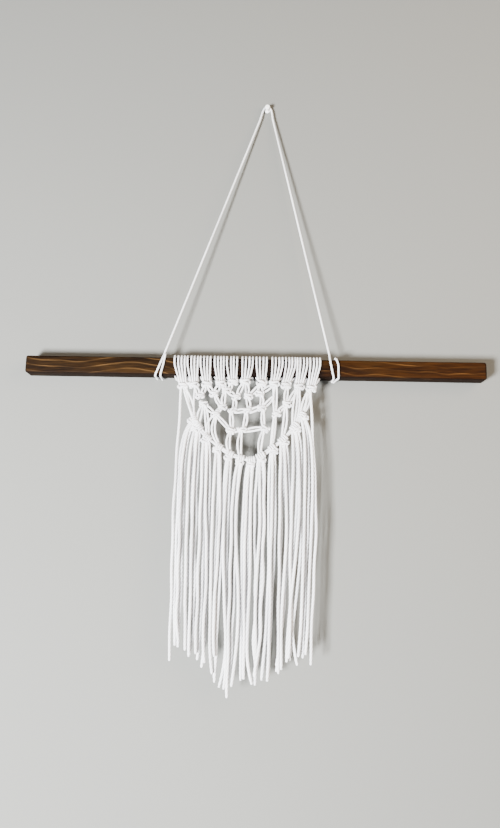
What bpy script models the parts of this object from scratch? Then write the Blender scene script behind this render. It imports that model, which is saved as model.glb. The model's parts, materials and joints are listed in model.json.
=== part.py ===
"""A knotted cotton wall hanging on a stained square bar, hung by a cord from a push pin.

The frame: the wall is the plane y = 0, the room is on its -Y side, +X is to the viewer's right
and +Z is up.  The origin is on the wall, at the middle of the pin's collar.

The cotton is one thickness of cord throughout, so the whole knotted pattern is laid out for a
3 mm cord and grows or shrinks with the cord that is used.
"""

import math

import bmesh
import bpy
from mathutils import Matrix, Vector

MM = 0.001
GAP = 0.3 * MM

# the cotton
CORD = 3.0 * MM
PATTERN = CORD / (3.0 * MM)
CORD_SIDES = 8

# the bar
BAR_LENGTH = 508.0 * MM
BAR_SIDE = 19.0 * MM
BAR_EASE = 0.8 * MM
BAR_SHIFT = -9.0 * MM
BAR_DROP = 329.0 * MM

# the push pin
COLLAR_RADIUS = 3.2 * MM
COLLAR_THICKNESS = 1.0 * MM
WAIST_RADIUS = 1.6 * MM
WAIST_START = 1.9 * MM
WAIST_LENGTH = 3.4 * MM
HEAD_RADIUS = 2.7 * MM
HEAD_LENGTH = 3.7 * MM
NEEDLE_RADIUS = 0.55 * MM
NEEDLE_SEAT = 4.3 * MM
NEEDLE_REACH = 12.0 * MM
NEEDLE_TAPER = 2.5 * MM

# where the panel sits on the bar, and its cords' four-strand groups, counted from the left
PANEL_SHIFT = -8.0 * MM
GROUP_WIDTH = 12.2 * MM * PATTERN
GROUP_SPACE = 2.7 * MM * PATTERN
GROUP_PITCH = GROUP_WIDTH + GROUP_SPACE
# how far each group stands off the even pitch, in 27ths of the space between groups
GROUP_NUDGES = (0, -6, -15, -12, -15, 0, 8, 32, 31, 8, 0)
TIE_WIDTH = 6.5 * MM * PATTERN
TIE_SPACES = (11.15 * MM, 9.15 * MM)

# knots, as half sizes across, front to back and up
TOP_KNOT = Vector((5.2, 3.8, 4.4)) * MM * PATTERN
NET_KNOT = Vector((3.6, 3.2, 3.4)) * MM * PATTERN
HITCH = Vector((4.6, 4.6, 4.6)) * MM * PATTERN
PAIR_WIDTH = 4.4 * MM * PATTERN
PAIR_NECK = 3.4 * MM * PATTERN
PAIR_SIDE = 0.45
PAIR_GAP = 0.6 * MM
LEAD_WIDTH = 4.2 * MM * PATTERN

# places in the panel for a 3 mm cord: across from the panel's middle, and down from the
# underside of the loops that hold it on the bar, in millimetres
TOP_KNOT_PLACES = (
    (-70, 10), (-58, 9), (-44, 8), (-28.5, 7), (-15.5, 5.2), (-2, 4.7),
    (16, 6), (30, 6), (42.5, 8), (57, 9), (70, 11),
)
NET_KNOT_PLACES = (
    (-51, 21), (-46.5, 30), (-36, 18.5), (-22, 14.5), (-11.5, 21.5), (2, 20.5), (14, 15.5),
    (-26, 33), (-34, 40.5), (-15, 36.5), (1.5, 34.5), (16.5, 31),
    (32.5, 40), (44, 28.5), (-16.5, 58.5), (-4, 56), (20, 52),
)
HITCH_PLACES = (
    (-58, 47), (-52.5, 55.5), (-42.5, 67.5), (-29.5, 77.5), (-17.5, 85), (-5.5, 89.5),
    (5.5, 91.5), (16.5, 87), (29, 78), (40.5, 68.5), (53, 54.5), (61.5, 41.5),
)
LEAD_ENDS = ((-68.6, 15.6), (68.6, 16.6))

# the pairs that run up from each net knot, to the left or right side of top knots T and net
# knots N, both counted from 0
NET_PAIRS = (
    ("T1R", "T2L"), (), ("T2R", "T3L"), ("T3R", "T4L"), ("N3R", "T5L"), ("T5R", "T6L"),
    ("T6R", "T7L"), ("N2R", "N3L"), ("N1R", "N7L"), ("N4L",), ("N5L", "N9R"),
    ("N6R", "N10R"), ("T7R", "N13L"), ("T8R", "T9L"), ("N8R", "N9L"), ("N10L", "N14R"),
    ("N11L", "N15R"),
)
# a net knot that is drawn up to the one before it, as one piece with it
DOUBLED = 1
# the pairs that run up from the hitches
HITCH_PAIRS = (
    (1, "N1L"), (2, "N8L"), (4, "N14L"), (5, "N15L"), (7, "N16L"), (8, "N12L"), (9, "N13R"),
    (10, "T9R"),
)

# the fringe: bundles below the hitches, and one free strand at each side
FRINGE_DROP = 321.0 * MM
FRINGE_RISE = 30.0 * MM
FRINGE_PITCH = 12.15 * MM * PATTERN
BUNDLE_GAP = 0.7 * MM
BUNDLE_FLATNESS = 0.45
BUNDLE_SPREAD = 14.0 * MM
BUNDLE_NECK = 22.0 * MM
BUNDLE_RINGS = 9
STRAND_DROP = 285.0 * MM
STRAND_STARTS = ((-73.8, 13.9), (73.8, 14.9))
STRAND_SWAY = ((-1.0, -1.4, -1.9, -2.2), (1.0, 2.8, 1.6, 0.8))

# the hanging cord's route from bar to pin to bar, in millimetres
HANGING_ROUTE = (
    (-109.5, -21.0, -315.4), (-98.9, -19.2, -283.8), (-82.9, -16.6, -236.3), (-67.0, -14.0, -188.8),
    (-51.0, -11.3, -141.3), (-35.1, -8.7, -93.9), (-19.1, -6.0, -46.4), (-8.5, -4.3, -14.7),
    (-3.4, -3.4, 1.1), (-2.1, -3.4, 2.9), (0.0, -3.4, 3.6), (2.3, -3.4, 2.8), (3.5, -3.4, 0.8),
    (6.8, -4.3, -15.0), (13.8, -6.0, -46.6), (24.4, -8.7, -94.1), (34.9, -11.3, -141.5),
    (45.4, -14.0, -188.9), (56.0, -16.6, -236.4), (66.5, -19.2, -283.8), (73.5, -21.0, -315.4),
)

# planes and lines that follow from the sizes
BAR_BACK = -(CORD + 2 * GAP)
BAR_FRONT = BAR_BACK - BAR_SIDE
PANEL_Y = BAR_FRONT - GAP - CORD / 2
PANEL_X = BAR_SHIFT + PANEL_SHIFT
LOOP_BOTTOM = -BAR_DROP - BAR_SIDE / 2 - GAP - CORD

# turns that keep the corners of joined shapes from meeting exactly
OFF_ANGLE = math.radians(13)
OFF_GRID = Matrix.Rotation(math.radians(17), 4, "Z") @ Matrix.Rotation(math.radians(9), 4, "X")

WHITE_COTTON = (0.86, 0.86, 0.85, 1)
STAINED_PINE = (0.10, 0.045, 0.018, 1)
WHITE_PLASTIC = (0.83, 0.83, 0.81, 1)
STEEL = (0.6, 0.6, 0.62, 1)


def clear_scene():
    for obj in list(bpy.data.objects):
        bpy.data.objects.remove(obj, do_unlink=True)


def new_collection(name):
    collection = bpy.data.collections.new(name)
    bpy.context.scene.collection.children.link(collection)
    return collection


def new_material(name, colour, roughness, metallic=0.0):
    material = bpy.data.materials.new(name)
    material.use_nodes = True
    shader = material.node_tree.nodes["Principled BSDF"]
    shader.inputs["Base Color"].default_value = colour
    shader.inputs["Roughness"].default_value = roughness
    shader.inputs["Metallic"].default_value = metallic
    material.diffuse_color = colour
    return material


def add_part(name, data, finish):
    """Puts a mesh or curve into the scene as a named part with a material of its own."""
    obj = bpy.data.objects.new(name, data)
    if not data.materials:
        data.materials.append(new_material(name, *finish))
    PARTS.objects.link(obj)
    return obj


def add_helper(name, mesh):
    obj = bpy.data.objects.new(name, mesh)
    HELPERS.objects.link(obj)
    obj.hide_render = True
    obj.display_type = "WIRE"
    return obj


def mesh_from(name, build):
    """A smooth-shaded mesh that the function build fills."""
    bm = bmesh.new()
    build(bm)
    mesh = bpy.data.meshes.new(name)
    bm.to_mesh(mesh)
    bm.free()
    mesh.shade_smooth()
    mesh.set_sharp_from_angle(angle=math.radians(40))
    return mesh


def ball(name, centre, halves):
    """An ellipsoid.  It is turned a little, so that its corners keep off the limbs' corners."""
    place = Matrix.Translation(centre) @ Matrix.Diagonal((*halves, 1)) @ OFF_GRID
    return mesh_from(name, lambda bm: bmesh.ops.create_uvsphere(
        bm, u_segments=8, v_segments=6, radius=1, matrix=place))


def limb(name, start, end, start_width, end_width, depth=CORD):
    """A flattened straight tube between two points, wide across the panel and a cord deep."""
    along = end - start
    through = Vector((0, 1, 0))
    turn = Matrix((through.cross(along).normalized(), through, along.normalized()))
    flatten = Matrix.Diagonal((1, depth / max(start_width, end_width), 1, 1))
    middle = Matrix.Translation((start + end) / 2)
    place = middle @ turn.transposed().to_4x4() @ flatten @ Matrix.Rotation(OFF_ANGLE, 4, "Z")
    return mesh_from(name, lambda bm: bmesh.ops.create_cone(
        bm, cap_ends=True, segments=CORD_SIDES, radius1=start_width / 2, radius2=end_width / 2,
        depth=along.length, matrix=place))


def tube_curve(name, points, radii, flatness=1.0):
    """A round tube through points with a radius at each; flatness squeezes it front to back."""
    curve = bpy.data.curves.new(name, "CURVE")
    curve.dimensions = "3D"
    curve.bevel_depth = 1.0
    curve.bevel_resolution = 2
    curve.use_fill_caps = True
    spline = curve.splines.new("POLY")
    spline.points.add(len(points) - 1)
    for place, point, radius in zip(spline.points, points, radii):
        place.co = (point.x, point.y / flatness, point.z, 1)
        place.radius = radius
    return curve


def meshed(curve, flatness=1.0):
    """The curve's tube as a closed mesh."""
    obj = bpy.data.objects.new(curve.name, curve)
    bpy.context.scene.collection.objects.link(obj)
    graph = bpy.context.evaluated_depsgraph_get()
    mesh = bpy.data.meshes.new_from_object(obj.evaluated_get(graph))
    bpy.data.objects.remove(obj)
    bm = bmesh.new()
    bm.from_mesh(mesh)
    bmesh.ops.remove_doubles(bm, verts=bm.verts, dist=1e-6)
    bmesh.ops.transform(bm, matrix=Matrix.Diagonal((1, flatness, 1, 1)), verts=bm.verts)
    bmesh.ops.recalc_face_normals(bm, faces=bm.faces)
    bm.to_mesh(mesh)
    bm.free()
    return mesh


def fuse(obj, meshes):
    """Joins other shapes to a part, so that it stays one closed body."""
    for count, mesh in enumerate(meshes):
        join = obj.modifiers.new(f"join_{count}", "BOOLEAN")
        join.operation = "UNION"
        join.object = add_helper(f"{obj.name}_piece_{count}", mesh)


def smooth_route(points, spacing):
    """Points at an even spacing on the smooth curve through the route's own points."""
    padded = [2 * points[0] - points[1], *points, 2 * points[-1] - points[-2]]
    found = []
    for a, b, c, d in zip(padded, padded[1:], padded[2:], padded[3:]):
        steps = max(1, round((c - b).length / spacing))
        reach = (c - b).length
        leave = (c - a).normalized() * reach
        arrive = (d - b).normalized() * reach
        for step in range(steps):
            t = step / steps
            h = (2 * t**3 - 3 * t**2 + 1, t**3 - 2 * t**2 + t, 3 * t**2 - 2 * t**3, t**3 - t**2)
            found.append(b * h[0] + leave * h[1] + c * h[2] + arrive * h[3])
    return [*found, points[-1]]


def pattern_point(place):
    """A place in the pattern as a point in the panel's plane."""
    across, down = place
    return Vector((PANEL_X + across * MM * PATTERN, PANEL_Y, LOOP_BOTTOM - down * MM * PATTERN))


def stop_short(start, aim, centre, halves):
    """The point where a line from start to aim is a gap short of the knot round centre.

    The knot is an ellipsoid: with everything divided by its half sizes it is a unit ball, and
    the line meets it where a quadratic in the distance along the line says.
    """
    squash = Vector([1 / (half + PAIR_GAP) for half in halves])
    way = (aim - start) * squash
    off = (start - centre) * squash
    half_b = off.dot(way) / way.length_squared
    c = (off.length_squared - 1) / way.length_squared
    return start + (aim - start) * (-half_b - math.sqrt(half_b**2 - c))


def turned(name, profile, steps, finish):
    """A shape turned round the pin's axis; the profile runs from the room side to the wall."""
    mesh = bpy.data.meshes.new(name)
    edges = [(i, i + 1) for i in range(len(profile) - 1)]
    mesh.from_pydata([(radius, 0, out) for radius, out in profile], edges, [])
    obj = add_part(name, mesh, finish)
    obj.rotation_euler = (math.radians(90), 0, 0)
    screw = obj.modifiers.new("turn", "SCREW")
    screw.steps = screw.render_steps = steps
    screw.use_merge_vertices = True
    screw.merge_threshold = 1e-5
    return obj


def make_pin():
    head_start = WAIST_START + WAIST_LENGTH
    head_end = head_start + HEAD_LENGTH
    bore = NEEDLE_RADIUS + GAP
    profile = (
        (0, head_end), (HEAD_RADIUS - 0.7 * MM, head_end), (HEAD_RADIUS, head_end - 0.6 * MM),
        (HEAD_RADIUS, head_start + 1.2 * MM), (WAIST_RADIUS, head_start),
        (WAIST_RADIUS, WAIST_START), (COLLAR_RADIUS, COLLAR_THICKNESS), (COLLAR_RADIUS, 0),
        (bore, 0), (bore, NEEDLE_SEAT + GAP), (0, NEEDLE_SEAT + GAP),
    )
    turned("pin_head", profile, 16, (WHITE_PLASTIC, 0.3))
    needle = (
        (0, NEEDLE_SEAT), (NEEDLE_RADIUS, NEEDLE_SEAT),
        (NEEDLE_RADIUS, NEEDLE_TAPER - NEEDLE_REACH), (0, -NEEDLE_REACH),
    )
    turned("pin_needle", needle, 12, (STEEL, 0.25, 1.0))


def make_bar():
    size = Matrix.Diagonal((BAR_LENGTH, BAR_SIDE, BAR_SIDE, 1))
    mesh = mesh_from("wood_bar", lambda bm: bmesh.ops.create_cube(bm, size=1, matrix=size))
    bar = add_part("wood_bar", mesh, (STAINED_PINE, 0.5))
    bar.location = (BAR_SHIFT, (BAR_BACK + BAR_FRONT) / 2, -BAR_DROP)
    ease = bar.modifiers.new("eased_edges", "BEVEL")
    ease.width = BAR_EASE
    ease.segments = 2


def rounded_square(side, radius, steps):
    """Points round a square with rounded corners, centred on the origin."""
    reach = side / 2 - radius
    points = []
    for quarter in range(4):
        middle = math.radians(90 * quarter + 45)
        corner = (reach * math.copysign(1, math.cos(middle)), reach * math.copysign(1, math.sin(middle)))
        for step in range(steps + 1):
            angle = math.radians(90 * (quarter + step / steps))
            points.append((corner[0] + radius * math.cos(angle), corner[1] + radius * math.sin(angle)))
    return points


def wrap_curve(name, width):
    """The ring of cord that lies round the bar: a square outline with a square hole."""
    curve = bpy.data.curves.new(name, "CURVE")
    curve.dimensions = "2D"
    curve.fill_mode = "BOTH"
    curve.extrude = width / 2
    inner = BAR_SIDE + 2 * GAP
    for side, radius in ((inner + 2 * CORD, CORD), (inner, BAR_EASE)):
        points = rounded_square(side, radius, 3)
        spline = curve.splines.new("POLY")
        spline.points.add(len(points) - 1)
        for place, point in zip(spline.points, points):
            place.co = (*point, 0, 1)
        spline.use_cyclic_u = True
    return curve


def add_wrap(name, curve, x):
    wrap = add_part(name, curve, (WHITE_COTTON, 0.9))
    wrap.location = (x, (BAR_BACK + BAR_FRONT) / 2, -BAR_DROP)
    wrap.rotation_euler = (math.radians(90), 0, math.radians(90))


def group_place(count):
    """Where along the bar the middle of a group of loops sits."""
    middle = (len(GROUP_NUDGES) - 1) / 2
    return PANEL_X + (count - middle) * GROUP_PITCH + GROUP_NUDGES[count] / 27 * GROUP_SPACE


def make_wraps():
    loops = wrap_curve("mount_loops", GROUP_WIDTH)
    for count in range(len(GROUP_NUDGES)):
        add_wrap(f"mount_loops_{count + 1:02d}", loops, group_place(count))
    ties = wrap_curve("hanging_tie", TIE_WIDTH)
    outer = (("left", 0, -1), ("right", len(GROUP_NUDGES) - 1, 1))
    for (side, group, way), space in zip(outer, TIE_SPACES):
        off = GROUP_WIDTH / 2 + space + TIE_WIDTH / 2
        add_wrap(f"hanging_tie_{side}", ties, group_place(group) + way * off)


def make_hanging_cord():
    route = smooth_route([Vector(point) * MM for point in HANGING_ROUTE], 3 * CORD)
    curve = tube_curve("hanging_cord", route, [CORD / 2] * len(route))
    add_part("hanging_cord", curve, (WHITE_COTTON, 0.9))


def make_top_knots():
    """Each knot with the four strands that come down to it from the bar."""
    for count, place in enumerate(TOP_KNOT_PLACES):
        centre = pattern_point(place)
        name = f"top_knot_{count + 1:02d}"
        knot = add_part(name, ball(name, centre, TOP_KNOT), (WHITE_COTTON, 0.9))
        top = Vector((centre.x, PANEL_Y, LOOP_BOTTOM - GAP))
        if top.z - centre.z - TOP_KNOT.z > 0.5 * MM:
            knot_width = 2 * TOP_KNOT.x * 0.7
            fuse(knot, [limb(name + "_strands", centre, top, knot_width, GROUP_WIDTH * 0.85)])


def pair_up(name, start, target):
    """The pair of strands from a point up to a knot, ending just short of it."""
    kind, index, side = target[0], int(target[1:-1]), target[-1]
    places, halves = (TOP_KNOT_PLACES, TOP_KNOT) if kind == "T" else (NET_KNOT_PLACES, NET_KNOT)
    centre = pattern_point(places[index])
    lean = PAIR_SIDE * halves.x * (1 if side == "R" else -1)
    aim = centre + Vector((lean, 0, 0))
    end = stop_short(start, aim, centre, halves)
    return limb(name, start, end, PAIR_WIDTH, PAIR_NECK)


def make_net():
    number = 0
    for count, (place, pairs) in enumerate(zip(NET_KNOT_PLACES, NET_PAIRS)):
        if count == DOUBLED:
            continue
        number += 1
        name = f"net_knot_{number:02d}"
        centre = pattern_point(place)
        knot = add_part(name, ball(name, centre, NET_KNOT), (WHITE_COTTON, 0.9))
        pieces = [pair_up(name, centre, target) for target in pairs]
        if count + 1 == DOUBLED:
            second = pattern_point(NET_KNOT_PLACES[DOUBLED])
            pieces.append(ball(name, second, NET_KNOT))
            pieces.append(limb(name, centre, second, PAIR_WIDTH, PAIR_WIDTH))
        fuse(knot, pieces)


def make_hitch_row():
    """The leading cord from the first top knot round to the last, with its hitches on it."""
    places = (LEAD_ENDS[0], *HITCH_PLACES, LEAD_ENDS[1])
    route = smooth_route([pattern_point(place) for place in places], 3 * LEAD_WIDTH)
    lead = meshed(tube_curve("hitch_row", route, [LEAD_WIDTH / 2] * len(route)))
    row = add_part("hitch_row", lead, (WHITE_COTTON, 0.9))
    hitches = [pattern_point(place) for place in HITCH_PLACES]
    beads = [ball("hitch", centre, HITCH) for centre in hitches]
    pairs = [pair_up("pair", hitches[index], target) for index, target in HITCH_PAIRS]
    fuse(row, beads + pairs)


def make_bundles():
    """A flattened bundle of strands below each hitch, which spreads out into its place."""
    middle = (len(HITCH_PLACES) - 1) / 2
    full = (FRINGE_PITCH - BUNDLE_GAP) / 2
    neck = full * 0.28
    for count, place in enumerate(HITCH_PLACES):
        name = f"fringe_bundle_{count + 1:02d}"
        hitch = pattern_point(place)
        share = (count - middle) / middle
        column = PANEL_X + (count - middle) * FRINGE_PITCH
        bottom = LOOP_BOTTOM - FRINGE_DROP + FRINGE_RISE * share * share
        start = HITCH.z + GAP
        length = hitch.z - bottom - start
        points, radii = [], []
        for ring in range(BUNDLE_RINGS + 1):
            depth = start + length * (ring / BUNDLE_RINGS) ** 2
            spread = 1 - math.exp(-depth / BUNDLE_SPREAD)
            x = hitch.x + (column - hitch.x) * spread
            points.append(Vector((x, PANEL_Y, hitch.z - depth)))
            opened = min(1.0, (depth - start) / BUNDLE_NECK)
            radii.append(neck + (full - neck) * math.sin(opened * math.pi / 2))
        mesh = meshed(tube_curve(name, points, radii, BUNDLE_FLATNESS), BUNDLE_FLATNESS)
        add_part(name, mesh, (WHITE_COTTON, 0.9))


def make_side_strands():
    for side, start, sway in zip(("left", "right"), STRAND_STARTS, STRAND_SWAY):
        top = pattern_point(start)
        stops = [top]
        for count, shift in enumerate(sway):
            fall = STRAND_DROP * (count + 1) / len(sway)
            stops.append(top + Vector((shift * MM * PATTERN, 0, -fall)))
        points = smooth_route(stops, 3 * CORD)
        radii = [CORD / 2] * len(points)
        radii[0] = CORD / 6
        curve = tube_curve(f"side_strand_{side}", points, radii)
        add_part(f"side_strand_{side}", curve, (WHITE_COTTON, 0.9))


clear_scene()
PARTS = new_collection("macrame_wall_hanging")
HELPERS = new_collection("helpers")
make_pin()
make_bar()
make_hanging_cord()
make_wraps()
make_top_knots()
make_net()
make_hitch_row()
make_bundles()
make_side_strands()
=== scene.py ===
"""A knotted cotton wall hanging on a stained square bar, hung by a cord from a push pin.

Every cord is one swept tube with three twisted plies.  Loops, knots, hitches and fringe are
routes for that tube, written in cord thicknesses or in millimetres from the panel's hinge.
Lengths are metres otherwise: x to the right, y towards the wall and z up, from the pin.
"""

import json
import math

import bpy
import numpy as np
from mathutils import Matrix, Vector


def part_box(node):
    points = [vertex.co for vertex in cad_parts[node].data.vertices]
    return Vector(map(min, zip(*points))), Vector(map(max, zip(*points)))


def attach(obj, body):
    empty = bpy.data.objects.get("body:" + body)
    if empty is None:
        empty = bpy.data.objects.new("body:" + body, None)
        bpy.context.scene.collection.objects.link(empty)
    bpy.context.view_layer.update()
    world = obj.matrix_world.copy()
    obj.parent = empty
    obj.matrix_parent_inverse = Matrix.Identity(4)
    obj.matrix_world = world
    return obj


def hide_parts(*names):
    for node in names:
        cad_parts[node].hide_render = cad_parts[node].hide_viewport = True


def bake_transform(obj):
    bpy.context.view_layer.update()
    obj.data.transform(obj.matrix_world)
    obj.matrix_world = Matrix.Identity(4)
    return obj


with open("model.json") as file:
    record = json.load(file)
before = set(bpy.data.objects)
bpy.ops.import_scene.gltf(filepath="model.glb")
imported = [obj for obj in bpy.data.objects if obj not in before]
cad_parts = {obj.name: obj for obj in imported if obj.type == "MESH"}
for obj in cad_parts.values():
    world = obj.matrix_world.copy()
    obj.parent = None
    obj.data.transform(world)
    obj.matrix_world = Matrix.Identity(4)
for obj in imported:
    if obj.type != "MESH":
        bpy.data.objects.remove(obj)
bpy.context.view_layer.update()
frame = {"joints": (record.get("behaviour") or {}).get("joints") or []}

MM = 0.001
TURN = 2 * math.pi

# the cotton: three plies, laid up with this length for one full turn
CORD = 3.0 * MM
LAY = 13.5 * MM
PLIES = 3
SIDES = 15
RING_STEP = 0.9 * MM
GROOVE = 0.17
FRAY = 3.2 * MM

# how thick the cord is where it is pulled tight or hangs loose, in cord thicknesses
TAUT = 0.75
FOLDED = 0.7
SNUG = 0.9
NETTED = 0.77
HITCHED = 0.8
LEADING = 0.86
LOOSE = 1.08

# the hanging cord's route from bar to pin to bar, in millimetres
HANGING_ROUTE = (
    (-109.5, -21.0, -315.4), (-98.9, -19.2, -283.8), (-82.9, -16.6, -236.3), (-67.0, -14.0, -188.8),
    (-51.0, -11.3, -141.3), (-35.1, -8.7, -93.9), (-19.1, -6.0, -46.4), (-8.5, -4.3, -14.7),
    (-3.4, -3.4, 1.1), (-2.1, -3.4, 2.9), (0.0, -3.4, 3.6), (2.3, -3.4, 2.8), (3.5, -3.4, 0.8),
    (6.8, -4.3, -15.0), (13.8, -6.0, -46.6), (24.4, -8.7, -94.1), (34.9, -11.3, -141.5),
    (45.4, -14.0, -188.9), (56.0, -16.6, -236.4), (66.5, -19.2, -283.8), (73.5, -21.0, -315.4),
)

# each tie round the bar: how far round it is, in turns from the front's upper edge, and how far
# across from the hanging cord's foot, in millimetres
LEFT_TIE = (
    (0.02, -1.6), (0.24, -8.8), (0.5, -8.0), (0.75, -4.0), (1.0, 1.8), (1.24, -3.2), (1.55, -3.0),
)
RIGHT_TIE = (
    (0.02, 0.4), (0.24, 4.2), (0.5, 4.0), (0.75, 4.4), (0.98, 6.6), (1.06, 9.2), (1.24, 9.4),
    (1.55, 4.0),
)
TIE_FIRST, TIE_LAST = 0.02, 1.55

# the groups of two folded cords, each with a top knot: how far apart their strands are on the
# bar and in the knot, and from which share round the bar to which they go
GROUPS = 11
STRANDS_ON_BAR = 3.6 * MM
STRANDS_IN_KNOT = 2.1 * MM
FOLD_FIRST, FOLD_LAST = 0.2, -0.72

# the size of each square knot across, in depth and in height, against its drawing
TOP_SIZE = (0.97, 0.9, 0.7)
NET_SIZE = (0.84, 0.86, 0.66)
HITCH_SIZE = (0.76, 0.84, 0.58)
OUTER_HITCH_SIZE = (0.58, 0.84, 0.58)

# the net, in millimetres across and down from the panel's hinge
NET_KNOTS = (
    (-51, 21), (-46.5, 30), (-36, 18.5), (-22, 14.5), (-11.5, 21.5), (2, 20.5), (14, 17.5),
    (-26, 33), (-34, 40.5), (-15, 36.5), (1.5, 36.5), (16.5, 33.5),
    (32.5, 40), (44, 28.5), (-16.5, 58.5), (-4, 57.5), (20.5, 56),
)
LEAD_ENDS = ((-68.6, 15.6), (68.6, 16.6))
# this knot touches the one before it, and the two stand for one node
TOUCHING_KNOT = 1

# which top knots T and net knots N the pairs into each net knot come from
NET_PAIRS = (
    ("T1", "T2"), (), ("T2", "T3"), ("T3", "T4"), ("N3", "T5"), ("T5", "T6"),
    ("T6", "T7"), ("N2", "N3"), ("N1", "N7"), ("N4",), ("N5", "N9"),
    ("N6", "N10", (30.5, 19)), ("T7", "N13"), ("T8", "T9"), ("N8", "N9"), ("N10", "N14"),
    ("N11", "N15"),
)
# which come down to each hitch, with the number of strands and how far they bow sideways
HITCH_PAIRS = (
    (("T0", 2, 1.0), ("T1", 1, -1.0)), (("N1", 2, -1.0),), (("N1", 2, 1.0), ("N8", 1, -4.0)),
    (("N8", 2, -4.5),), (("N14", 2, -2.0),), (("N15", 2, -1.5),), (), (("N16", 2, -1.5),),
    (("N12", 2, 0.5), ("T7", 1, 1.5)), (("N13", 2, 1.0),), (("T9", 3, 0.5),),
    (("T10", 3, 0.5),),
)
# the strands of each bundle of the fringe
BUNDLES = (3, 4, 4, 3, 3, 3, 4, 4, 3, 4, 4, 3)
# how many bundles of four set their second strand apart from the others
SHARED_STRANDS = 5
# the free strand at each side: its length, and its sway at five even steps in millimetres
OUTER_LENGTH = 285 * MM
OUTER_SWAY = {"left": (2.4, 0.2, -1.3, 0.4, 0.8), "right": (-5.0, -0.6, 2.6, -1.0, -3.8)}

# where the fringe was cut, in millimetres across and down from the panel's hinge
CUT_LINE = (
    (-76, 278), (-66, 284), (-56, 292), (-45, 295), (-36, 306), (-28, 316), (-18, 325), (-8, 323),
    (2, 315), (14, 318), (24, 314), (36, 311), (46, 300), (56, 296), (66, 292), (78, 290),
)

JOINTS = {joint["name"]: Vector(joint["pos_m"]) for joint in frame["joints"]}
HINGE = JOINTS["panel_swing"]
BAR_LOW, BAR_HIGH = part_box("wood_bar")
BAR_MIDDLE = (BAR_LOW + BAR_HIGH) / 2
chance = np.random.default_rng(7)


# shader maths


class Wire:
    """A node's output, on which sums are written as Python sums."""

    def __init__(self, tree, socket=None):
        self.tree = tree
        self.socket = socket

    def node(self, kind, settings=(), sockets=(), output=0):
        """Any node: its settings are set first, then its sockets get values or links."""
        made = self.tree.nodes.new("ShaderNode" + kind)
        for name, value in dict(settings).items():
            if name == "stops":
                ramp = made.color_ramp.elements
                while len(ramp) < len(value):
                    ramp.new(0.5)
                for stop, (place, colour) in zip(ramp, value):
                    stop.position = place
                    stop.color = (*colour, 1)
            else:
                setattr(made, name, value)
        for name, value in dict(sockets).items():
            if isinstance(value, Wire):
                self.tree.links.new(value.socket, made.inputs[name])
            else:
                made.inputs[name].default_value = value
        return Wire(self.tree, made.outputs[output])

    def math(self, operation, *values):
        return self.node("Math", {"operation": operation}, enumerate(values))

    def __add__(self, other):
        return self.math("ADD", self, other)

    def __sub__(self, other):
        return self.math("SUBTRACT", self, other)

    def __rsub__(self, other):
        return self.math("SUBTRACT", other, self)

    def __mul__(self, other):
        return self.math("MULTIPLY", self, other)

    def __truediv__(self, other):
        return self.math("DIVIDE", self, other)

    def __pow__(self, other):
        return self.math("POWER", self, other)

    __radd__ = __add__
    __rmul__ = __mul__

    def fraction(self):
        return self.math("FRACT", self)

    def absolute(self):
        return self.math("ABSOLUTE", self)

    def parts(self):
        """The three numbers of a vector."""
        split = self.node("SeparateXYZ", sockets={"Vector": self}).socket.node
        return [Wire(self.tree, socket) for socket in split.outputs]

    def joined(self, y, z):
        return self.node("CombineXYZ", sockets={"X": self, "Y": y, "Z": z})

    def noise(self, scale, detail=2.0, roughness=0.5):
        sockets = {"Vector": self, "Scale": scale, "Detail": detail, "Roughness": roughness}
        return self.node("TexNoise", sockets=sockets)

    def limits(self, low, high):
        """0 below low, 1 above high and a smooth step between them."""
        sockets = {"Value": self, "From Min": low, "From Max": high}
        return self.node("MapRange", {"interpolation_type": "SMOOTHSTEP"}, sockets)

    def tint(self, dark, light):
        """The colour that goes from dark to light as this number goes from 0 to 1."""
        first, second = (
            colour if isinstance(colour, Wire) else (*colour, 1) for colour in (dark, light)
        )
        # a colour Mix node has its factor at 0, its colours at 6 and 7 and its result at 2
        sockets = {0: self, 6: first, 7: second}
        return self.node("Mix", {"data_type": "RGBA"}, sockets, output=2)


def new_material(name, **constants):
    """An empty Principled material: (the material, its shader node, a Wire to build from)."""
    material = bpy.data.materials.new(name)
    material.use_nodes = True
    shader = material.node_tree.nodes["Principled BSDF"]
    for socket, value in constants.items():
        shader.inputs[socket.replace("_", " ")].default_value = value
    return material, shader, Wire(material.node_tree)


def plug(wires, shader, **sockets):
    """Links each wire to the shader's socket of that name."""
    for name, wire in sockets.items():
        wires.tree.links.new(wire.socket, shader.inputs[name.replace("_", " ")])


def cotton_material():
    """Soft white plies: fibres run nearly along the cord, and painted shade darkens the grooves."""
    material, shader, wires = new_material(
        "cotton_cord", Roughness=0.93, Sheen_Weight=0.35, Sheen_Roughness=0.6, IOR=1.4
    )
    along, round_it, _ = wires.node("UVMap").parts()
    groove = (2 * (PLIES * round_it).fraction() - 1).absolute() ** 3.0
    fibre_angle = round_it + along / LAY
    fibres = (fibre_angle * 46).joined(along * 160, along * 0).noise(1.0, 3.0, 0.6)
    patches = along.joined(round_it * 0.02, along * 0).noise(38.0, 2.0)
    # painted shade: each cord is greyer over long stretches
    painted_shade_stretches = (along * 9.0).joined(along * 0, along * 0).noise(1.0, 1.0).limits(0.4, 0.62)
    # painted shade in the grooves and along the greyer stretches, mixed with the cotton's own
    # uneven tone from fibres and patches
    shade = 0.55 * groove + 0.3 * (1 - fibres) + 0.3 * (1 - patches) + 0.26 * painted_shade_stretches - 0.22
    colour = shade.tint((0.78, 0.785, 0.80), (0.32, 0.32, 0.335))
    height = 0.7 * fibres - 0.4 * groove
    bump = wires.node("Bump", sockets={"Height": height, "Strength": 0.5, "Distance": 0.0003})
    plug(wires, shader, Base_Color=colour, Normal=bump)
    return material


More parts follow.
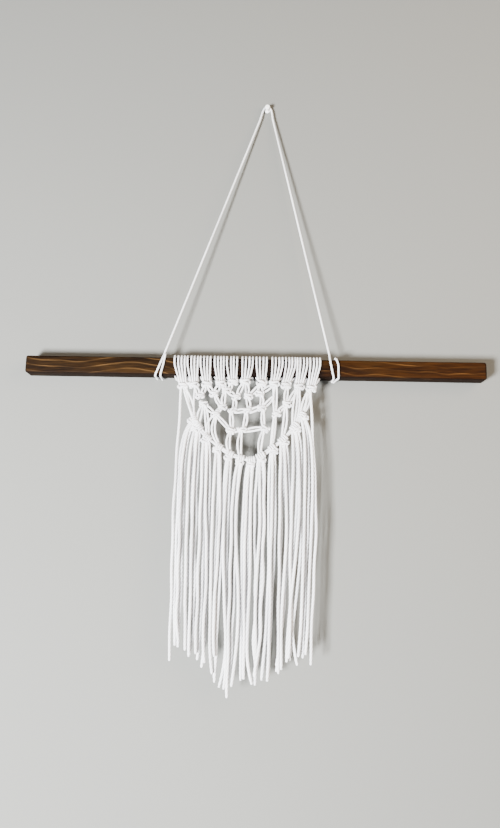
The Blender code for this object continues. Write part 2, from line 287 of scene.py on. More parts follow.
def pine_material():
    """Walnut-stained pine, sawn flat: thin pale lines of latewood wander along a dark ground, with
    streaky fibres, open pores, a redder right end and dark corners where the stain gathered.
    The rings are circles in (y, z) about a heart below the bar, bent by noise."""
    material, shader, wires = new_material("walnut_stained_pine", IOR=1.45, Specular_IOR_Level=0.05)
    x, y, z = wires.node("TexCoord", output=3).parts()
    height = z - BAR_MIDDLE.z
    slow = (x * 8.5).joined(y * 6, z * 6).noise(1.0, 2.0) - 0.5
    waver = (x * 40).joined(y * 60, z * 60).noise(1.0, 2.0) - 0.5
    heart_y, heart_z, ring_gap = 0.022, 0.046, 0.0075
    across = y + heart_y + 0.02 * slow
    up = height + heart_z + 0.034 * slow + 0.0024 * waver
    ring = (across * across + up * up) ** 0.5 / ring_gap
    late = (ring.fraction() ** 4.6).limits(0.15, 0.95)
    strong = (x * 16).joined(y * 45, z * 130).noise(1.0, 1.0).limits(0.36, 0.68)
    fibres = (x * 55).joined(y * 1300, z * 1300).noise(1.0, 3.0, 0.65)
    pores = (x * 60).joined(y * 2400, z * 2400).noise(1.0, 1.0).limits(0.6, 0.7)
    patches = (x * 10).joined(y * 34, z * 60).noise(1.0, 2.0)
    red = (x * 4 + 0.1 + waver).limits(-0.2, 1.0)
    deep = red.tint((0.0016, 0.0005, 0.0001), (0.0030, 0.0005, 0.0001))
    body = red.tint((0.0155, 0.0064, 0.0008), (0.0220, 0.0066, 0.0006))
    pale = red.tint((0.080, 0.042, 0.0140), (0.096, 0.0415, 0.0100))
    ground = (1.3 * (fibres - 0.5) + 1.3 * (patches - 0.5) + 0.52).limits(0.12, 0.9)
    colour = ground.tint(deep, body)
    colour = (late * (0.12 + 0.68 * strong) + 0.10 * fibres * strong).tint(colour, pale)
    # the four long corners, where the stain gathered
    upright = (height.absolute() + 0.0006 * waver).limits(0.0080, 0.0094)
    edges = upright * (y - BAR_MIDDLE.y).absolute().limits(0.0070, 0.0084)
    half_long = BAR_HIGH.x - BAR_MIDDLE.x
    tips = (x - BAR_MIDDLE.x).absolute().limits(half_long - 0.0024, 0.2535)
    colour = (0.75 * edges + 0.5 * pores * (1 - edges)).tint(colour, (0.0030, 0.0012, 0.0005))
    # painted shade: the bar is darker between the cords and on its underside
    between = (1 - (x + 0.0125).absolute().limits(0.074, 0.082)) * 0.8
    under = (0 - height).limits(0.0086, 0.0096)
    colour = between.tint(colour, (0.0012, 0.0005, 0.0003))
    colour = (0.85 * under).tint(colour, (0.0032, 0.0010, 0.0003))
    colour = (0.8 * tips).tint(colour, (0.0022, 0.0008, 0.0003))
    rough = 0.52 + 0.2 * fibres + 0.1 * pores
    bumps = 0.6 * fibres - 0.8 * pores + 0.35 * late
    bump = wires.node("Bump", sockets={"Height": bumps, "Strength": 0.35, "Distance": 0.0004})
    plug(wires, shader, Base_Color=colour, Roughness=rough, Normal=bump)
    return material


def plastic_material():
    """Moulded white plastic with a faint cloudiness and a soft gloss."""
    material, shader, wires = new_material(
        "white_moulded_plastic", IOR=1.5, Coat_Weight=0.15, Coat_Roughness=0.2
    )
    place = wires.node("TexCoord", output=3)
    cloud = place.noise(300.0, 3.0)
    fine = place.noise(2500.0, 2.0)
    colour = cloud.tint((0.86, 0.86, 0.85), (0.78, 0.78, 0.755))
    rough = 0.24 + 0.14 * fine
    bump = wires.node("Bump", sockets={"Height": fine, "Strength": 0.1, "Distance": 0.0001})
    plug(wires, shader, Base_Color=colour, Roughness=rough, Normal=bump)
    return material


def steel_material():
    """Bright wire with fine drawing lines along it."""
    material, shader, wires = new_material("drawn_steel", Metallic=1.0)
    x, y, z = wires.node("TexCoord", output=3).parts()
    lines = (x * 9000).joined(y * 300, z * 9000).noise(1.0, 2.0)
    colour = lines.tint((0.66, 0.66, 0.68), (0.48, 0.48, 0.5))
    plug(wires, shader, Base_Color=colour, Roughness=0.2 + 0.2 * lines)
    return material


def plaster_material(name, colour):
    """Painted plaster, seen only from its room side."""
    material, shader, wires = new_material(name, Roughness=0.9)
    place = wires.node("TexCoord", output=3)
    rolled = place.noise(260.0, 3.0)
    tone = place.noise(3.0, 2.0).tint(colour, [0.96 * part for part in colour])
    bump = wires.node("Bump", sockets={"Height": rolled, "Strength": 0.12, "Distance": 0.0005})
    plug(wires, shader, Base_Color=tone, Normal=bump)
    # the sockets of a Mix Shader: the factor, the shader at 0 and the shader at 1
    behind = wires.node("NewGeometry", output=6)
    sides = {0: behind, 1: Wire(wires.tree, shader.outputs[0]), 2: wires.node("BsdfTransparent")}
    one_sided = wires.node("MixShader", sockets=sides)
    plug(wires, wires.tree.nodes["Material Output"], Surface=one_sided)
    return material


COTTON = cotton_material()
PINE = pine_material()
PLASTIC = plastic_material()
STEEL = steel_material()


# meshes


def new_piece(name, points, faces, material, corners=None):
    """An object at the origin from points and face arrays, with its UV map if it has one."""
    mesh = bpy.data.meshes.new(name)
    around = np.concatenate([np.ravel(array) for array in faces])
    sizes = np.concatenate([np.full(len(array), np.shape(array)[1]) for array in faces])
    mesh.vertices.add(len(points))
    mesh.vertices.foreach_set("co", np.ravel(points))
    mesh.loops.add(len(around))
    mesh.loops.foreach_set("vertex_index", around)
    mesh.polygons.add(len(sizes))
    mesh.polygons.foreach_set("loop_start", np.cumsum(sizes) - sizes)
    if corners is not None:
        mesh.uv_layers.new(name="UVMap").data.foreach_set("uv", np.ravel(corners))
    mesh.update(calc_edges=True)
    mesh.shade_smooth()
    mesh.materials.append(material)
    piece = bpy.data.objects.new(name, mesh)
    bpy.context.scene.collection.objects.link(piece)
    return piece


def tube_faces(rings, around):
    """The faces of rings of points that close to one point at each end, the two last points."""
    grid = np.arange(rings * around).reshape(rings, around)
    beside = np.roll(grid, -1, axis=1)
    quads = np.stack([grid[:-1], beside[:-1], beside[1:], grid[1:]], axis=-1).reshape(-1, 4)
    first, last = np.full((2, around), [[rings * around], [rings * around + 1]])
    heads = np.stack([beside[0], grid[0], first], axis=-1)
    tails = np.stack([grid[-1], beside[-1], last], axis=-1)
    return [quads, heads, tails]


def smooth(points, step):
    """Points a step apart along the curve through the given ones: on each stretch a cubic whose
    slopes at the ends are those of the parabola through three neighbours."""
    points = np.asarray(points, float)
    gaps = np.linalg.norm(np.diff(points, axis=0), axis=1)
    at = np.concatenate([[0], np.cumsum(gaps)])
    slopes = np.gradient(points, at, axis=0)
    fine = np.linspace(0, at[-1], 16 * len(points))
    stretch = np.clip(np.searchsorted(at, fine, side="right") - 1, 0, len(gaps) - 1)
    gap = gaps[stretch][:, None]
    share = (fine - at[stretch])[:, None] / gap
    rest = 1 - share
    curve = (1 + 2 * share) * rest**2 * points[stretch]
    curve += share * rest**2 * gap * slopes[stretch]
    curve += (3 - 2 * share) * share**2 * points[stretch + 1]
    curve -= rest * share**2 * gap * slopes[stretch + 1]
    run = np.concatenate([[0], np.cumsum(np.linalg.norm(np.diff(curve, axis=0), axis=1))])
    count = max(3, round(run[-1] / step) + 1)
    even = np.linspace(0, run[-1], count)
    return np.column_stack([np.interp(even, run, column) for column in curve.T])


def length_of(line):
    """The sum of the distances between a line's points."""
    return float(np.linalg.norm(np.diff(line, axis=0), axis=1).sum())


def crossways(line):
    """Two directions across a line at each point, carried along it without spinning."""
    along = np.gradient(line, axis=0)
    along /= np.linalg.norm(along, axis=1)[:, None]
    side = np.cross(along[0], (0.31, 0.52, 0.8))
    sides = np.empty_like(line)
    for place, way in enumerate(along):
        side = side - way * (side @ way)
        side /= np.linalg.norm(side)
        sides[place] = side
    return sides, np.cross(along, sides)


def twisted(line, radius, frayed=False, start=0.0):
    """The surface round a line: point (s, a) lies across the line at the angle a + s / lay, at
    radius * (1 - groove * (1 - |sin(plies * a / 2)| ^ 0.8)), and each end closes to one point.
    A frayed end grows thinner with deeper grooves, as exp(-distance to the end / fray)."""
    run = np.linspace(0, length_of(line), len(line))
    left = run[-1] - run
    angle = TURN * np.arange(SIDES) / SIDES
    fray = np.exp(-left / FRAY) if frayed else np.zeros(len(line))
    bulge = 1 - np.abs(np.sin(PLIES * angle / 2)) ** 0.8
    share = 1 - (GROOVE + 0.3 * fray[:, None]) * bulge
    ends = np.minimum(run, left) / (0.35 * radius)
    closing = np.where(ends < 1, 0.8 + 0.2 * ends, 1.0) * (1 - 0.26 * fray)
    reach = radius * closing[:, None] * share
    turned = angle + (TURN * run / LAY + TURN * start)[:, None]
    side, other = crossways(line)
    points = line[:, None] + reach[..., None] * (
        np.cos(turned)[..., None] * side[:, None] + np.sin(turned)[..., None] * other[:, None]
    )
    points = np.concatenate([points.reshape(-1, 3), line[:1], line[-1:]])
    steps = run + 0.37 * start
    near, far = np.arange(SIDES) / SIDES, np.arange(1, SIDES + 1) / SIDES
    u0, v0, u1, v1 = np.broadcast_arrays(steps[:-1, None], near, steps[1:, None], far)
    quad_uv = np.stack([u0, v0, u0, v1, u1, v1, u1, v0], axis=-1).reshape(-1, 2)
    head_uv = np.stack([0 * far, far, 0 * far, near, 0 * far, near], axis=-1).reshape(-1, 2)
    tail_uv = np.stack([0 * far, near, 0 * far, far, 0 * far, near], axis=-1).reshape(-1, 2)
    corners = np.concatenate([quad_uv, head_uv + (steps[0], 0), tail_uv + (steps[-1], 0)])
    return points, tube_faces(len(line), SIDES), corners


def cotton_piece(name, routes, radius=CORD / 2, frayed=False):
    """One piece of several cords that follow smooth curves through their routes."""
    points, faces, corners, lines = [], [], [], []
    for route in routes:
        line = smooth(route, RING_STEP)
        shape = twisted(line, radius, frayed, chance.random())
        base = sum(map(len, points))
        points.append(shape[0])
        faces += [array + base for array in shape[1]]
        corners.append(shape[2])
        lines.append(line)
    piece = new_piece(name, np.concatenate(points), faces, COTTON, np.concatenate(corners))
    return piece, lines


def lathe(name, profile, centre, axis, material, sides=64):
    """A profile of (radius, distance) points turned about an axis: point (k, a) is the centre
    + distance * axis + radius * (cos a, sin a) across it.  Its ends lie on the axis."""
    profile = np.asarray(profile, float)
    axis = np.asarray(axis, float)
    side = np.cross(axis, (0.0, 0.0, 1.0))
    other = np.cross(axis, side)
    angle = TURN * np.arange(sides) / sides
    ring = np.cos(angle)[:, None] * side + np.sin(angle)[:, None] * other
    body = profile[1:-1]
    points = centre + body[:, 1, None, None] * axis + body[:, 0, None, None] * ring
    poles = [centre + profile[0, 1] * axis, centre + profile[-1, 1] * axis]
    points = np.concatenate([points.reshape(-1, 3), poles])
    return new_piece(name, points, tube_faces(len(body), sides), material)


# places


def panel_point(place, forward=0.0):
    """A point of the panel from millimetres across and down, and forward into the room."""
    across, down = place
    return np.array([HINGE.x + across * MM, HINGE.y - forward * MM, HINGE.z - down * MM])


def top_knot_centre(index):
    """The middle of a top knot, a little above the foot of its node."""
    low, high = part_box(f"top_knot_{index + 1:02d}")
    return np.array([(low.x + high.x) / 2, HINGE.y, low.z + 4.4 * MM])


def hitch_centre(index):
    """Where a bundle leaves its hitch, which is its hinge."""
    return np.array(JOINTS[f"bundle_{index + 1:02d}_swing"])


def knot_centre(name):
    """The centre of top knot T0, T1 ... or net knot N0, N1 ..., or a place on the panel."""
    if isinstance(name, tuple):
        return panel_point(name)
    index = int(name[1:])
    return top_knot_centre(index) if name[0] == "T" else panel_point(NET_KNOTS[index])


def round_bar(shares):
    """Points (y, z) round the bar at a cord's middle.  Share 0 is the front's upper edge; it
    grows down the front, under, up the back and over the top to 1.  The way is a square with
    quarter circles for corners."""
    half = (BAR_HIGH.z - BAR_LOW.z) / 2 + 0.3 * MM + CORD / 2
    bend = CORD / 2 + 1.1 * MM
    inner = half - bend
    angle = TURN / 4 * (np.arange(4)[:, None] + np.linspace(0, 1, 6))
    y = np.array([-inner, inner, inner, -inner])[:, None] - bend * np.cos(angle)
    z = np.array([-inner, -inner, inner, inner])[:, None] - bend * np.sin(angle)
    way = np.stack([y, z], axis=-1).reshape(-1, 2)
    way = np.concatenate([way[-1:], way])
    run = np.concatenate([[0], np.cumsum(np.linalg.norm(np.diff(way, axis=0), axis=1))])
    at = np.mod(shares, 1) * run[-1]
    y, z = (np.interp(at, run, column) for column in way.T)
    return BAR_MIDDLE.y + y, BAR_MIDDLE.z + z


def bar_route(first, last, places):
    """A route round the bar from one share to another, its x read from (share, x) places."""
    shares = np.linspace(first, last, max(4, round(abs(last - first) * 22)))
    at, x = np.array(sorted(places)).T
    return np.column_stack([np.interp(shares, at, x), *round_bar(shares)])


def ring_route(centre, along, radius, rise, first, turns):
    """Points c + radius * (cos a * p + sin a * q) + rise * share * along, a round turn of cord
    about a line; p is the direction across it that points most into the room."""
    along = np.asarray(along, float) / np.linalg.norm(along)
    q = np.cross(along, (0.0, -1.0, 0.0))
    q /= np.linalg.norm(q)
    p = np.cross(q, along)
    share = np.linspace(0, 1, max(8, round(12 * turns)))[:, None]
    angle = TURN * (first + turns * share)
    return centre + radius * (np.cos(angle) * p + np.sin(angle) * q) + rise * share * along


# knots


# a square knot in cord thicknesses: across, towards the wall and up
CROSSING_CORD = (
    (-0.8, 0.3, 1.4), (-1.3, -0.35, 1.2), (-0.6, -1.0, 0.85), (0.6, -1.0, 0.5),
    (1.35, -0.45, 0.3), (1.65, 0.1, 0.0), (1.35, -0.45, -0.3), (0.6, -1.0, -0.5),
    (-0.6, -1.0, -0.85), (-1.3, -0.35, -1.2), (-0.8, 0.3, -1.4),
)
WRAPPING_CORD = (
    (0.8, 0.3, 1.4), (1.5, -0.5, 1.2), (1.7, -0.6, 0.85), (1.45, 0.35, 0.5), (0.6, 1.0, 0.4),
    (-0.6, 1.0, 0.25), (-1.45, 0.4, 0.15), (-1.7, -0.35, 0.0), (-1.65, -0.6, -0.45),
    (-1.45, 0.35, -0.7), (-0.6, 1.0, -0.75), (0.6, 1.0, -0.85), (1.4, 0.3, -1.0),
    (1.5, -0.3, -1.25), (0.8, 0.3, -1.4),
)
CORE_CORD = ((0.0, 0.0, 1.5), (0.0, 0.0, 0.5), (0.0, 0.0, -0.5), (0.0, 0.0, -1.5))


def square_knot(centre, size, tilt=0.0, mirrored=False):
    """The four routes of a square knot: two straight core cords, one cord that crosses in front
    of them twice, and one that wraps round its ends and crosses behind."""
    shapes = [np.array(CROSSING_CORD), np.array(WRAPPING_CORD)]
    shapes += [np.array(CORE_CORD) + (side, 0, 0) for side in (-0.5, 0.5)]
    turn = np.array(Matrix.Rotation(tilt, 3, "Y"))
    flip = (-1, 1, 1) if mirrored else (1, 1, 1)
    routes = []
    for shape in shapes:
        uneven = chance.normal(0, 0.05, shape.shape)
        routes.append(centre + ((shape + uneven) * flip * CORD * np.array(size)) @ turn.T)
    return routes


def pair_routes(start, end, count, bow, spread=0.5):
    """Strands side by side from inside one knot to inside another, bowed sideways and crossing
    over each other a little."""
    way = end - start
    across = np.array([-way[2], 0, way[0]]) / np.linalg.norm(way)
    share = np.linspace(0, 1, 7)[:, None]
    swell = np.sin(share * TURN / 2)
    routes = []
    for strand in range(count):
        off = (strand - (count - 1) / 2) * CORD * (spread + (1.15 - spread) * swell)
        own = bow * MM + chance.normal(0, 0.25 * MM)
        depth = (0.35 * MM * (-1) ** strand) * np.cos(share * TURN / 2 + chance.random())
        line = start + share * way + across * (off + own * swell)
        routes.append(line + depth * np.array([0, 1, 0]))
    return routes


# the pieces


def make_camera():
    """Below the bar's height and looking up at it, with a slight lean."""
    yaw, pitch, roll = 0.0183, 0.1924, 0.0210
    flat = math.cos(pitch)
    ahead = Vector((-math.sin(yaw) * flat, math.cos(yaw) * flat, math.sin(pitch)))
    level = Vector((math.cos(yaw), math.sin(yaw), 0))
    upright = level.cross(ahead)
    right = level * math.cos(roll) + upright * math.sin(roll)
    up = upright * math.cos(roll) - level * math.sin(roll)
    camera = bpy.data.objects.new("camera", bpy.data.cameras.new("camera"))
    camera.data.lens = 30.43
    camera.data.clip_start = 0.01
    camera.matrix_world = Matrix((right, up, -ahead)).transposed().to_4x4()
    camera.location = (0.0005, -0.7679, -0.5268)
    bpy.context.scene.collection.objects.link(camera)
    bpy.context.scene.camera = camera


def make_hanging_cord():
    """The cord over the pin, and at each end two slanting turns round the bar, with the tail
    tucked behind it."""
    route = np.array(HANGING_ROUTE) * MM
    piece, lines = cotton_piece("hanging_line", [route], TAUT * CORD / 2)
    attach(piece, "bar_and_cord")
    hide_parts("hanging_cord")
    for side, end, inner, ways, lift in (
        ("left", 0, 1, LEFT_TIE, 3.6 * MM), ("right", -1, -2, RIGHT_TIE, 0.4 * MM),
    ):
        foot, up = route[end], route[inner] - route[end]
        up = up / np.linalg.norm(up)
        places = [(share, foot[0] + across * MM) for share, across in ways]
        turns = bar_route(TIE_FIRST, TIE_LAST, places)
        # the second turn starts a little above the bar, where it crosses the hanging cord
        shares = np.linspace(TIE_FIRST, TIE_LAST, len(turns))
        turns[:, 2] += lift * np.exp(-(((shares - 1.0) / 0.08) ** 2))
        tie, _ = cotton_piece(
            f"tie_turns_{side}", [np.concatenate([[foot + 1.5 * MM * up], turns])],
            TAUT * CORD / 2,
        )
        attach(tie, "bar_and_cord")
        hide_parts(f"hanging_tie_{side}")


def fringe_columns():
    """Where each bundle's strands hang, across from the panel's hinge, left to right: evenly
    spread, then drawn a little towards the bundle's middle and made uneven."""
    total = sum(BUNDLES)
    across = np.linspace(-71.5, 71.5, total) * MM
    bundles = np.split(across, np.cumsum(BUNDLES)[:-1])
    close = [bundle.mean() + 0.92 * (bundle - bundle.mean()) for bundle in bundles]
    return [bundle + chance.normal(0, 0.6 * MM, len(bundle)) for bundle in close]


def strand_route(top, column, layer, cut):
    """A fringe strand from its knot: x goes from the knot to the strand's own column as
    1 - exp(-depth / 17 mm), with two slow waves that grow with depth, a drift and a flick near
    the end, and a lean, mostly to the panel's middle, with the square of its share of the depth."""
    long = top[2] - cut
    depth = np.linspace(0, long, 46)
    share = depth / long
    free = 1 - np.exp(-depth / (40 * MM))
    spread = 1 - np.exp(-depth / (17 * MM))
    wave = np.zeros_like(depth)
    for height, short, tall in ((1.25, 140, 280), (0.3, 45, 80)):
        period = chance.uniform(short, tall) * MM
        wave += chance.normal(0, height) * np.sin(TURN * (depth / period + chance.random()))
    drift = chance.normal(0, 1.8) * np.clip(2.0 * share - 0.6, 0, 1.4) ** 1.5
    flick = chance.normal(0, 2.4) * np.clip(share * 6 - 5, 0, 1) ** 2
    lean = -(1.3 * MM + 0.052 * (column - HINGE.x)) * share**2
    x = top[0] + (column - top[0]) * spread + (wave * free + drift + flick) * MM + lean
    sway = 0.4 * np.sin(TURN * (depth / (110 * MM) + chance.random())) * free
    y = top[1] + (layer * spread + sway) * MM
    return np.column_stack([x, y, top[2] - depth])


def make_fringe():
    """The strands below each hitch, and one free strand at each side of the panel."""
    cut_across, cut_down = np.array(CUT_LINE).T * MM
    undeclared = SHARED_STRANDS
    for bundle, columns in enumerate(fringe_columns()):
        hitch = hitch_centre(bundle)
        strands = []
        for strand, column in enumerate(columns):
            off = strand - (len(columns) - 1) / 2
            top = hitch + np.array([off * 0.62 * CORD, 0.2 * MM * off, -3.2 * MM])
            layer = 2.0 * (-1) ** (sum(BUNDLES[:bundle]) + strand)
            cut = HINGE.z - np.interp(column, cut_across, cut_down) + chance.normal(3.5, 3.0) * MM
            if chance.random() < 0.12:
                cut += chance.uniform(8, 22) * MM
            route = strand_route(top, HINGE.x + column, layer, cut)
            name = f"fringe_{bundle + 1:02d}_{'abcd'[strand]}"
            piece, lines = cotton_piece(name, [route], LOOSE * CORD / 2, frayed=True)
            f"bundle_{bundle + 1:02d}"
            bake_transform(piece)
            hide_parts(f"fringe_bundle_{bundle + 1:02d}")
            strands.append((piece, lines[0]))
        extra = []
        if len(strands) == 4 and undeclared:
            undeclared -= 1
            extra.append(strands.pop(1)[0])
        for number, (piece, line) in enumerate(strands):
            extra if number == 0 else ()
    for side, sway in OUTER_SWAY.items():
        start = np.array(JOINTS[f"{side}_strand_swing"])
        depth = np.linspace(0, OUTER_LENGTH, 40)
        x = start[0] + np.interp(depth, np.linspace(0, OUTER_LENGTH, len(sway)), sway) * MM
        x = np.convolve(np.pad(x, 4, mode="edge"), np.full(9, 1 / 9), mode="valid")
        x += 0.35 * MM * np.sin(TURN * depth / (62 * MM) + len(side))
        route = np.column_stack([x, np.full(len(x), start[1]), start[2] + 2 * MM - depth])
        piece, lines = cotton_piece(f"outer_strand_{side}", [route], frayed=True)
        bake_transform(piece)
        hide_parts(f"side_strand_{side}")


def make_mounting_cords():
    """Two cords a group, each folded over the bar as a lark's head: up the front, over, down
    the back and under, and across behind the knot's top as a bight."""
    for group in range(GROUPS):
        low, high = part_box(f"mount_loops_{group + 1:02d}")
        middle = (low.x + high.x) / 2
        knot = top_knot_centre(group)
        routes = []
        for cord in (-1, 1):
            halves = []
            for strand in (-1, 1):
                place = cord + strand / 2
                x_top = middle + place * STRANDS_ON_BAR + chance.normal(0, 0.3 * MM)
                x_in = knot[0] + place * STRANDS_IN_KNOT
                foot = np.array([x_in, HINGE.y + 0.3 * MM, knot[2] + 2.0 * MM])
                x_low = 0.55 * x_top + 0.45 * x_in
                x_under = 0.8 * x_top + 0.2 * x_in + strand * 0.6 * MM
                way = bar_route(FOLD_FIRST, FOLD_LAST, (
                    (FOLD_FIRST, x_low), (0.08, x_top), (-0.4, x_top), (FOLD_LAST, x_under),
                ))
                side = knot[0] + (cord * 1.15 + strand * 1.05) * 1.55 * MM
                turn_in = np.array([side, HINGE.y + 1.8 * MM, knot[2] + 3.2 * MM])
                halves.append(np.concatenate([[foot], way, [turn_in]]))
            left, right = halves
            bight = (left[-1] + right[-1]) / 2 + np.array([0, 0.6 * MM, -1.6 * MM])
            routes.append(np.concatenate([left, [bight], right[::-1]]))
        piece, _ = cotton_piece(f"mounting_cords_{group + 1:02d}", routes, FOLDED * CORD / 2)
        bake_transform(piece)
        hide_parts(f"mount_loops_{group + 1:02d}")


def make_knots():
    """The top row, and the net with the pairs of strands that come down to each knot."""
    for index in range(GROUPS):
        centre = top_knot_centre(index)
        routes = square_knot(centre, TOP_SIZE, chance.normal(0, 0.06), index % 2)
        piece, _ = cotton_piece(f"top_square_knot_{index + 1:02d}", routes, SNUG * CORD / 2)
        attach(piece, "panel")
        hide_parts(f"top_knot_{index + 1:02d}")
    node = 0
    for index, sources in enumerate(NET_PAIRS):
        centre = knot_centre(f"N{index}")
        routes = square_knot(centre, NET_SIZE, chance.normal(0, 0.25), index % 2)
        for source in sources:
            start = knot_centre(source)
            side = math.copysign(1.0, centre[0] - start[0])
            start = start + np.array([side * 0.55 * CORD, 0, -0.5 * CORD])
            end = centre + np.array([-side * 0.45 * CORD, 0, 0.35 * CORD])
            routes += pair_routes(start, end, 2, chance.normal(0, 0.5))
        piece, _ = cotton_piece(f"net_square_knot_{index + 1:02d}", routes, NETTED * CORD / 2)
        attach(piece, "panel")
        if index != TOUCHING_KNOT:
            node += 1
            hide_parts(f"net_knot_{node:02d}")


def lead_line():
    """The middle of the leading cords: from the outer top knots down along the hitches."""
    centres = np.array([hitch_centre(index) for index in range(len(BUNDLES))])
    ends = np.array([panel_point(place) for place in LEAD_ENDS])
    line = np.concatenate([ends[:1], centres, ends[1:]])
    along = np.gradient(line, axis=0)
    along /= np.linalg.norm(along, axis=1)[:, None]
    up = np.cross(along, (0.0, 1.0, 0.0))
    up *= np.sign(up[:, 2])[:, None]
    return line + up * 1.4 * MM, along, up


def make_hitches():
    """Two leading cords, and on them a turn of every strand with a gathering knot below."""
    line, along, up = lead_line()
    curve = smooth(line, 2 * MM)
    slope = np.gradient(curve, axis=0)
    slope /= np.linalg.norm(slope, axis=1)[:, None]
    cross = np.cross(slope, (0.0, 1.0, 0.0))
    roll = np.linspace(0, 2.4 * TURN, len(curve))[:, None]
    side = 0.36 * CORD * (np.cos(roll) * cross + 0.6 * np.sin(roll) * np.array([0, 1, 0]))
    piece, _ = cotton_piece("leading_cords", [curve + side, curve - side], LEADING * CORD / 2)
    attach(piece, "panel")
    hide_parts("hitch_row")
    for index, count in enumerate(BUNDLES):
        way, rise, place = along[index + 1], up[index + 1], line[index + 1]
        routes = []
        for strand in range(count):
            off = (strand - (count - 1) / 2) * 0.8 * CORD
            centre = place + off * way
            routes.append(
                ring_route(centre, way, radius=0.98 * CORD, rise=0.3 * CORD, first=0.45, turns=1.1)
            )
        centre = hitch_centre(index) - 2.2 * MM * rise - np.array([0, 0, 1.2 * MM])
        tilt = 0.45 * math.atan2(way[2], way[0])
        size = OUTER_HITCH_SIZE if index in (0, len(BUNDLES) - 1) else HITCH_SIZE
        routes += square_knot(centre, size, -tilt, index % 2)
        for source, strands, bow in HITCH_PAIRS[index]:
            start = knot_centre(source)
            shift = np.clip(place[0] - start[0], -0.5 * CORD, 0.5 * CORD)
            start = start + np.array([shift, 0, -0.5 * CORD])
            end = place + np.array([0.3 * shift, 0, 0.4 * CORD])
            routes += pair_routes(start, end, strands, bow)
        piece, _ = cotton_piece(f"hitch_{index + 1:02d}", routes, HITCHED * CORD / 2)
        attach(piece, "panel")


def make_bar():
    """The bar: a square with eased corners, carried along x.  Its corners' radius is r plus three
    slow sines of x, each with its own start at each corner.  Its sawn ends are flat, and their
    edges are a quarter circle."""
    half = (BAR_HIGH.z - BAR_LOW.z) / 2
    long = BAR_HIGH.x - BAR_LOW.x
    eased, worn_corner = 2.2 * MM, 1.4 * MM
    turn = np.linspace(0, TURN / 4, 7)
    # the first rings lie on the flat end, this far in from the bar's faces
    inset = np.concatenate([[6 * MM, 3 * MM], eased * (1 - np.sin(turn))])
    step_in = np.concatenate([[0, 0], eased * (1 - np.cos(turn))])
    middle = np.linspace(2 * eased, long - 2 * eased, 170)
    x = np.concatenate([step_in, middle, long - step_in[::-1]])
    size = half - np.concatenate([inset, np.zeros(len(middle)), inset[::-1]])[:, None]
    worn = np.full((len(x), 4), worn_corner)
    for period in (173 * MM, 61 * MM, 23 * MM):
        worn += 0.15 * MM * np.sin(TURN * (x[:, None] / period + chance.random(4)))
    bend = np.minimum(worn, size)[..., None]
    angle = TURN / 4 * (np.arange(3, -1, -1)[:, None] + np.linspace(1, 0, 7))
    corner_y, corner_z = np.array([[-1, 1, 1, -1], [1, 1, -1, -1]])[..., None]
    y = corner_y * (size[..., None] - bend) - bend * np.cos(angle)
    z = corner_z * (size[..., None] - bend) - bend * np.sin(angle)
    place = np.broadcast_to((BAR_LOW.x + x)[:, None, None], y.shape)
    points = np.stack([place, BAR_MIDDLE.y + y, BAR_MIDDLE.z + z], axis=-1).reshape(-1, 3)
    poles = [(end, BAR_MIDDLE.y, BAR_MIDDLE.z) for end in (BAR_LOW.x, BAR_HIGH.x)]
    faces = tube_faces(len(x), angle.size)
    bar = new_piece("square_bar", np.concatenate([points, poles]), faces, PINE)
    bar.data.set_sharp_from_angle(angle=math.radians(50))
    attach(bar, "bar_and_cord")
    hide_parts("wood_bar")


def arc(centre, radius, first, last, count=6):
    """Points c + radius * (cos a, sin a) of a circle's stretch, for a profile in millimetres."""
    angle = np.radians(np.linspace(first, last, count))
    ring = np.column_stack([np.cos(angle), np.sin(angle)])
    return np.array(centre) + radius * ring


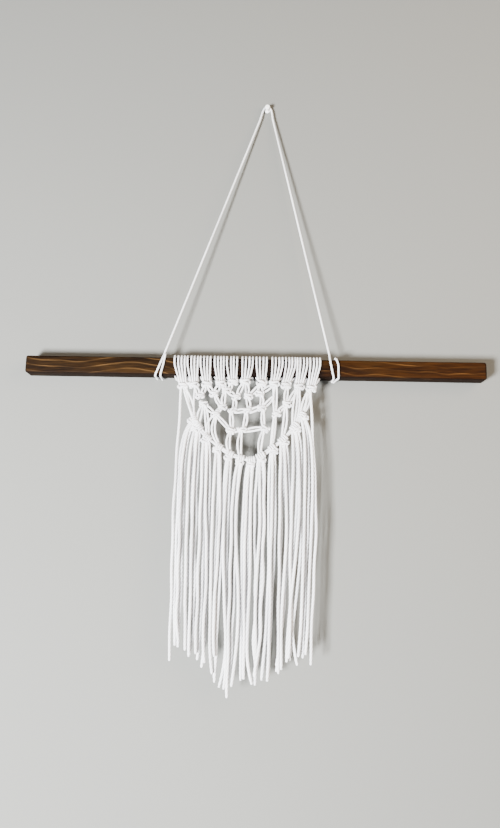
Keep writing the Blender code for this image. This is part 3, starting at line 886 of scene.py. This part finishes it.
def make_pin():
    """The pin's body, turned from the wall out: collar, waist and head; and its needle."""
    profile = np.concatenate([
        [(0.0, 0.6), (0.7, 0.6), (0.7, 0.05)],
        arc((2.95, 0.25), 0.25, -90, 0), arc((2.85, 0.65), 0.35, 0, 90),
        arc((2.5, 1.9), 0.9, 270, 180), arc((2.5, 5.1), 0.9, 180, 90),
        arc((2.35, 6.35), 0.35, -90, 0), arc((2.1, 8.4), 0.6, 0, 90), [(0.0, 9.0)],
    ])
    body = lathe("turned_pin", profile * MM, np.zeros(3), (0, -1, 0), PLASTIC)
    low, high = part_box("pin_needle")
    tip, start = high.y / MM, low.y / MM
    point = np.concatenate([
        [(0.0, start), (0.55, start)], [(0.55, tip - 2.5), (0.3, tip - 1.1)],
        arc((0.0, tip - 0.12), 0.12, 20, 70, 3), [(0.0, tip)],
    ])
    needle = lathe("needle_wire", point * MM, np.zeros(3), (0, 1, 0), STEEL, 24)
    for piece, node, slot in ((body, "pin_head", "white_plastic"), (needle, "pin_needle", "steel")):
        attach(piece, "pin")
        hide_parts(node)


def make_studio():
    """A pale wall behind the pin, a pale floor far below, and soft lights."""
    near, far, left, right, floor, top = -4, 0.4 * MM, -3, 3, -1.6, 2
    wall = [(left, far, floor), (right, far, floor), (right, far, top), (left, far, top)]
    ground = [
        (left, near, floor), (right, near, floor), (right, -near, floor), (left, -near, floor),
    ]
    for name, corners, tone in (
        ("studio_wall", wall, (0.136, 0.139, 0.129)), ("studio_floor", ground, (0.42, 0.41, 0.39)),
    ):
        stage = new_piece(name, corners, [[(0, 1, 2, 3)]], plaster_material(name, tone))
        # the light of the room also reaches the back of the hanging
        stage.visible_shadow = False
    # name, place, what it points at, size, power and colour
    for name, place, target, size, power, colour in (
        ("window_light", (-0.81, -1.23, -1.02), (0, 0, -0.4), 0.34, 212, (0.98, 0.985, 1.0)),
        ("warm_light", (0.95, -0.8, -0.05), (0.2, 0, -0.35), 0.8, 27, (1.0, 0.80, 0.60)),
        ("back_light", (0.5, 1.5, 0.4), (0, 0, -0.35), 0.9, 16, (1.0, 0.97, 0.94)),
    ):
        light = bpy.data.objects.new(name, bpy.data.lights.new(name, "AREA"))
        light.data.size = size
        light.data.energy = power
        light.data.color = colour
        light.location = place
        aim = Vector(target) - Vector(place)
        light.rotation_euler = aim.to_track_quat("-Z", "Y").to_euler()
        bpy.context.scene.collection.objects.link(light)
    world = bpy.data.worlds.new("studio")
    world.use_nodes = True
    sky = world.node_tree.nodes["Background"]
    sky.inputs["Color"].default_value = (1.0, 0.95, 0.9, 1)
    sky.inputs["Strength"].default_value = 0.25
    bpy.context.scene.world = world


make_camera()
make_hanging_cord()
make_fringe()
make_mounting_cords()
make_knots()
make_hitches()
make_bar()
make_pin()
make_studio()
